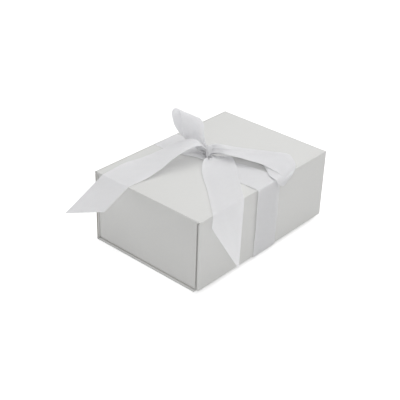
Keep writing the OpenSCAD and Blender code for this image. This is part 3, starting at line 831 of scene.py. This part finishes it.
class FAVORBOX_OT_tray(bpy.types.Operator):
    """Wrap the tray in covering paper, with its end walls set back"""
    bl_idname = "favor_box.tray"
    bl_label = "Tray"

    def execute(self, context):
        paper = context.scene.favor_box_paper
        wall = PAPER_T + BOARD_T
        end, recess = TRAY_HIGH.x, paper.end_recess
        end_x, room_x = end - recess, end - recess - wall
        room_low, room_high = TRAY_LOW.y + wall, TRAY_HIGH.y - wall
        side_low, side_high = room_low + PAPER_T, room_high - PAPER_T
        tray = start_plane("tray_wrap", (-end, TRAY_LOW.y), (end, TRAY_HIGH.y), TRAY_HIGH.z)
        for level in (-end_x, end_x, -room_x, room_x):
            slice_at(tray, 0, level)
        for level in (room_low, room_high, side_low, side_high):
            slice_at(tray, 1, level)

        def left_out(face):
            x, y, _ = face.calc_center_median()
            in_recess = abs(x) > end_x and side_low < y < side_high
            in_room = abs(x) < room_x and room_low < y < room_high
            return in_recess or in_room

        pick(tray, "FACE", left_out)
        bpy.ops.mesh.delete(type="FACE")

        def outer_rim(edge):
            x, y, _ = (edge.verts[0].co + edge.verts[1].co) / 2
            inside = abs(x) < room_x + LOOSE and room_low - LOOSE < y < room_high + LOOSE
            return edge.is_boundary and not inside

        foot_top = PANEL_T + BOARD_T + PAPER_T
        at_foot = edges_at(z=foot_top)
        pick(tray, "EDGE", outer_rim)
        pull(z=foot_top - TRAY_HIGH.z)
        # The recess ends at the foot, where the paper comes out to the long walls' ends
        for side in (-1, 1):
            at_end = edges_at(x=side * end_x, z=foot_top)
            pick(tray, "EDGE", lambda edge: at_end(edge) and all(
                side_low - LOOSE < v.co.y < side_high + LOOSE for v in edge.verts))
            pull(x=side * recess)
        close_up(tray)
        pick(tray, "EDGE", lambda edge: edge.is_boundary and at_foot(edge))
        foot_low = PANEL_T + paper.foot_gap
        pull(z=foot_low - foot_top)
        # The paper turns in under the tray, round a small radius
        pull()
        shrink = [1 - 2 * paper.foot_inset / size for size in (2 * end, TRAY_HIGH.y - TRAY_LOW.y)]
        bpy.ops.transform.resize(value=(*shrink, 1),
                                 center_override=(0, (TRAY_LOW.y + TRAY_HIGH.y) / 2, foot_low))
        close_up(tray)
        apply_modifier(tray, "BEVEL", width=TRAY_ROUND, segments=EDGE_STEPS, limit_method="ANGLE",
                       angle_limit=math.radians(30))
        in_paper(tray)
        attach(tray, "base")
        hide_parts("tray_cover")

        # The floor board, whose lowest edge is drawn in behind the shadow line
        floor_low, floor_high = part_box("tray_floor")
        floor = start_block("tray_floor_board", floor_low, floor_high)
        pick(floor, "FACE", faces_at(2, floor_low.z))
        bpy.ops.mesh.inset(thickness=paper.foot_inset, depth=0)
        deselect()
        # The rim left by the inset rises, which leaves a step round the foot
        for vertex in floor.data.vertices:
            if near(abs(vertex.co.x), floor_high.x) and near(vertex.co.z, floor_low.z):
                vertex.co.z += paper.foot_gap
        shade(floor)
        finish_with(floor, "recycled_grey_board")
        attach(floor, "base")
        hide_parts("tray_floor")
        return {"FINISHED"}


class FAVORBOX_OT_wrap_ribbon(bpy.types.Operator):
    """Run the ribbon once round the lid and flap, drawn in under the knot"""
    bl_idname = "favor_box.wrap_ribbon"
    bl_label = "Ribbon round the lid"

    def execute(self, context):
        work = context.scene.favor_box_ribbon
        half = RIBBON_W / 2
        edges = []
        for sign in (-1, 1):
            rows = []
            for place, drift, width, rise in BAND_SHARES:
                reach = FRONT_REACH if place < 0 else REAR_REACH - CREASE
                rows.append([drift * KNOT_X + sign * width * half, KNOT_Y + place * reach,
                             BOX_TOP + SEAT + rise * work.bow_height])
            edges.append(smooth_path(rows, work.steps_along))
        over = pleated(edges, UNDER_PLEATS, 0.0)
        # The rest of the loop: down the flap, up behind it, and back under the lid to the slit
        front_y = -HALF_W - SEAT - work.slack
        back_y = -HALF_W + PANEL_T + SEAT
        under_z = BOX_TOP - PANEL_T - SEAT
        low_z = FLAP_LOW.z - SEAT
        slit_y = HALF_W - CREASE + SEAT
        r = TURN_R

        def turn(y, z, start, sweep, radius=r):
            """Five places round a turn, from its centre and its angles in degrees."""
            angles = np.radians(np.linspace(start, start + sweep, 5))
            return [(y + radius * math.cos(a), z + radius * math.sin(a)) for a in angles]

        path = turn(front_y + r + work.slack, BOX_TOP + SEAT - r - work.slack, 90, 90, r + work.slack)
        path += [(front_y, z) for z in np.linspace(BOX_TOP - RUN_START, low_z + RUN_START, RUN_ROWS)]
        path += turn(front_y + r, low_z + r, 180, 90) + turn(back_y - r, low_z + r, 270, 90)
        path += [(back_y, z) for z in np.linspace(low_z + RUN_START, under_z - RUN_START, RUN_ROWS)]
        # Close rows lie on both sides of the inner fold
        path += [(back_y, under_z - far) for far in NEAR_FOLD[::-1]]
        path += turn(back_y + r, under_z - r, 180, -90)
        path += [(back_y + far, under_z) for far in NEAR_FOLD]
        path += [(y, under_z) for y in np.linspace(back_y + RUN_START, slit_y - RUN_START, UNDER_ROWS)]
        path += turn(slit_y - r, under_z + r, 270, 90) + turn(slit_y - r, BOX_TOP + SEAT - r, 0, 90)
        line = np.linspace(-half, half, work.steps_across + 1)
        rest = np.array([[(x, y, z) for x in line] for y, z in path])
        # The lid's run goes from the front edge to the rear one, and the rest of the loop goes on
        grid = np.vstack([over[::-1][:-1], rest])
        # The selvedges curl only down the flap and near it on the lid, clear of the front tail
        row = np.arange(len(grid))
        comes_in = (row - (len(over) - 1 - CURL_ROWS * work.steps_along)) / work.steps_along
        goes_out = (len(over) + CURL_END - row) / CURL_FADE
        grid = curled(grid, work.curl, np.clip(comes_in, 0, 1) * np.clip(goes_out, 0, 1))
        piece, length = ribbon_piece("ribbon_round_lid", grid)
        # Only the fold itself bends, or its inner run would dip on to the tray's front wall
        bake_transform(piece)
        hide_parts("band_over_lid", "band_under_lid", "band_down_flap", "band_behind_flap")
        return {"FINISHED"}


class FAVORBOX_OT_bow(bpy.types.Operator):
    """Tie the bow: its knot, its upright loop and its front loop"""
    bl_idname = "favor_box.bow"
    bl_label = "Bow"

    def execute(self, context):
        work = context.scene.favor_box_ribbon
        reach = (RIBBON_W, RIBBON_W, RIBBON_W)
        edges = [edge_path(rows, reach) for rows in (UP_LEFT, UP_RIGHT)]
        piece, length = ribbon_piece("bow_upright_loop", pleated(edges, 1, 0.2))
        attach(piece, "lid")
        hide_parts("upright_loop")

        reach = (RIBBON_W, FRONT_REACH, work.bow_height)
        edges = [edge_path(rows, reach) for rows in (LOOP_NEAR, LOOP_FAR)]
        grid = pleated(edges, 1, 0.6, edge_path(LOOP_MID, reach))
        piece, length = ribbon_piece("bow_front_loop", grid)
        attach(piece, "front_loop")
        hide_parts("front_loop")

        self.tie_knot(work)
        return {"FINISHED"}

    def tie_knot(self, work):
        """The ribbon folded to five layers, side to side, and drawn round the bow."""
        top = work.bow_height - KNOT_DIP
        bulge = KNOT_FOOT + KNOT_BULGE * (top - KNOT_FOOT)
        deep = work.knot_depth / 2 - RIBBON_T
        layers = len(KNOT_TURNS) - 1
        u = np.linspace(0, layers, work.steps_across * 2 + 1)
        slide = np.interp(u, np.arange(layers + 1), KNOT_TURNS) * work.knot_length / 2
        layer = u * KNOT_SPACING * RIBBON_T - KNOT_PROUD * np.clip(1 - u, 0, 1)
        rows = []
        for angle in np.radians(np.linspace(-90, 270, KNOT_STEPS)):
            rise, out = math.sin(angle), math.cos(angle)
            tall = (top - bulge if rise > 0 else bulge - KNOT_FOOT) - RIBBON_T
            pinch = KNOT_PINCH * np.cos(slide / work.knot_length * 2 * math.pi) * abs(rise) - KNOT_PINCH
            x = slide * (1 - KNOT_WAIST + KNOT_WAIST * abs(rise))
            y = (deep - layer + pinch) * math.copysign(abs(out) ** KNOT_LEAN, out)
            rows.append(np.stack([x, y, (tall - layer + pinch) * rise], axis=1))
        turn = np.array(Matrix.Rotation(BOW_HEADING, 3, "Z"))
        grid = (np.array(rows) + np.array([work.knot_shift, 0, 0])) @ turn.T
        grid = grid + np.array([KNOT_X, KNOT_Y, BOX_TOP + bulge])
        piece, length = ribbon_piece("knot_band", grid, RIBBON_T * KNOT_THIN)
        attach(piece, "lid")
        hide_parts("knot")


class FAVORBOX_OT_tails(bpy.types.Operator):
    """Lay the two tails of the bow over the edges of the lid"""
    bl_idname = "favor_box.tails"
    bl_label = "Tails"

    def execute(self, context):
        work = context.scene.favor_box_ribbon
        down = np.linspace(0, 1, 4 * work.steps_along)[:, None]

        reach = (LEFT_REACH, RIBBON_W, work.bow_height)
        front, rear = (edge_path(rows, reach) for rows in (LEFT_FRONT, LEFT_REAR))
        yaw, droop, free = LEFT_HANG
        way = np.array([-math.cos(yaw) * math.cos(droop), math.sin(yaw), -math.cos(yaw) * math.sin(droop)])
        far_free = free + RIBBON_W * CUT - np.linalg.norm(rear[-1] - front[-1]) * math.sin(yaw)
        # It folds over the lid's edge, a little way out
        fold = np.array([SEAT, 0, 0])
        edges = (np.vstack([front, front[-1] - fold + way * free * down]),
                 np.vstack([rear, rear[-1] - fold + way * far_free * down]))
        piece, length = ribbon_piece("bow_left_tail", pleated(edges, LEFT_PLEATS, 0.1))
        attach(piece, "lid")
        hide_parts("left_tail")

        reach = (RIBBON_W, FRONT_REACH, work.bow_height)
        left, right = (edge_path(rows, reach) for rows in (FRONT_LEFT, FRONT_RIGHT))
        yaw, droop, free = FRONT_HANG
        way = np.array([-math.sin(yaw), -math.cos(yaw) * math.cos(droop), -math.cos(yaw) * math.sin(droop)])
        far_free = free + np.linalg.norm(right[-1] - left[-1]) * math.sin(yaw) + RIBBON_W * CUT
        edges = (np.vstack([left, left[-1] + way * free * down[1:]]),
                 np.vstack([right, right[-1] + way * far_free * down[1:]]))
        piece, length = ribbon_piece("bow_front_tail", curled(pleated(edges, 1, 0.4), work.curl))
        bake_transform(piece)
        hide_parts("front_tail", "front_tail_end")
        return {"FINISHED"}


class FAVORBOX_OT_stage(bpy.types.Operator):
    """Set up the floor, the soft light and the camera"""
    bl_idname = "favor_box.stage"
    bl_label = "Floor, light and camera"

    def execute(self, context):
        stage = context.scene.favor_box_stage
        half = FLOOR_SIZE / 2
        floor = start_plane("floor", (-half, -half), (half, half), -FLOOR_DROP)
        # Matt white paper. What the camera sees of it is lifted to white, and it keeps its shadow
        tree, shader = start_material(
            "white_paper_sweep", {"Base Color": linear("#F8F8F8") + (1,), "Roughness": 0.9})
        rays = add_node(tree, "ShaderNodeLightPath")
        lift = add_node(tree, "ShaderNodeMath", {"operation": "MULTIPLY", 1: FLOOR_LIFT},
                        {0: rays.outputs["Is Camera Ray"]})
        glow = add_node(tree, "ShaderNodeEmission", {"Color": (1, 1, 1, 1)}, {"Strength": lift})
        resurface(tree, add_node(tree, "ShaderNodeAddShader", None, {0: shader, 1: glow}))
        finish_with(floor, "white_paper_sweep")

        world = bpy.data.worlds.new("studio")
        world.use_nodes = True
        tree = world.node_tree
        tree.nodes.clear()
        # White to the camera, in gloss and through what lets light pass, and a plain grey light otherwise
        rays = add_node(tree, "ShaderNodeLightPath")
        seen = rays.outputs["Is Camera Ray"]
        for kind in ("Is Glossy Ray", "Is Transmission Ray"):
            seen = add_node(tree, "ShaderNodeMath", {"operation": "MAXIMUM"},
                            {0: seen, 1: rays.outputs[kind]})
        level = add_node(tree, "ShaderNodeMath",
                         {"operation": "MULTIPLY_ADD", 1: 1 - stage.sky, 2: stage.sky}, {0: seen})
        sky = add_node(tree, "ShaderNodeBackground", {"Color": (1, 1, 1, 1)}, {"Strength": level})
        add_node(tree, "ShaderNodeOutputWorld", None, {"Surface": sky})
        context.scene.world = world

        for name, place, width, power in LAMPS:
            lamp = bpy.data.lights.new(name, "AREA")
            lamp.shape = "DISK"
            lamp.size = width
            lamp.energy = getattr(stage, power)
            light = stand(name, lamp)
            light.location = place
            light.rotation_euler = (place - LAMP_AIM).to_track_quat("Z", "Y").to_euler()

        data = bpy.data.cameras.new("photo_angle")
        data.lens = stage.lens
        data.sensor_width = SENSOR_WIDTH
        camera = stand("photo_angle", data)
        # Rolled, tipped up from looking straight down, and turned round the box
        turn = (Matrix.Rotation(stage.azimuth, 4, "Z")
                @ Matrix.Rotation(math.pi / 2 - stage.elevation, 4, "X")
                @ Matrix.Rotation(stage.roll, 4, "Z"))
        camera.matrix_world = turn @ Matrix.Translation((stage.aim_right, stage.aim_up, stage.distance))
        context.scene.camera = camera
        context.scene.view_settings.view_transform = "Standard"
        return {"FINISHED"}


class FAVORBOX_PT_sidebar(bpy.types.Panel):
    """Lists the steps of the favor box in the sidebar"""
    bl_idname = "FAVORBOX_PT_sidebar"
    bl_label = "Favor box"
    bl_space_type = "VIEW_3D"
    bl_region_type = "UI"
    bl_category = "Favor box"

    def draw(self, context):
        for step in STEPS:
            self.layout.operator(step.bl_idname)
        for name in GROUPS:
            column = self.layout.column(align=True)
            group = getattr(context.scene, name)
            for prop in type(group).__annotations__:
                column.prop(group, prop)


GROUPS = {
    "favor_box_paper": FavorBoxPaperwork,
    "favor_box_ribbon": FavorBoxRibbonwork,
    "favor_box_colours": FavorBoxColours,
    "favor_box_stage": FavorBoxStage,
}
STEPS = [
    FAVORBOX_OT_materials,
    FAVORBOX_OT_inner_parts,
    FAVORBOX_OT_case,
    FAVORBOX_OT_creases,
    FAVORBOX_OT_tray,
    FAVORBOX_OT_wrap_ribbon,
    FAVORBOX_OT_bow,
    FAVORBOX_OT_tails,
    FAVORBOX_OT_stage,
]


def register():
    for group in GROUPS.values():
        bpy.utils.register_class(group)
    for step in STEPS + [FAVORBOX_PT_sidebar]:
        bpy.utils.register_class(step)
    for name, group in GROUPS.items():
        setattr(bpy.types.Scene, name, PointerProperty(type=group))


def unregister():
    for name in GROUPS:
        delattr(bpy.types.Scene, name)
    for step in STEPS + [FAVORBOX_PT_sidebar]:
        bpy.utils.unregister_class(step)
    for group in GROUPS.values():
        bpy.utils.unregister_class(group)


def main():
    register()
    bpy.ops.favor_box.materials()
    bpy.ops.favor_box.inner_parts()
    bpy.ops.favor_box.case()
    bpy.ops.favor_box.creases()
    bpy.ops.favor_box.tray()
    bpy.ops.favor_box.wrap_ribbon()
    bpy.ops.favor_box.bow()
    bpy.ops.favor_box.tails()
    bpy.ops.favor_box.stage()


if __name__ == "__main__":
    main()
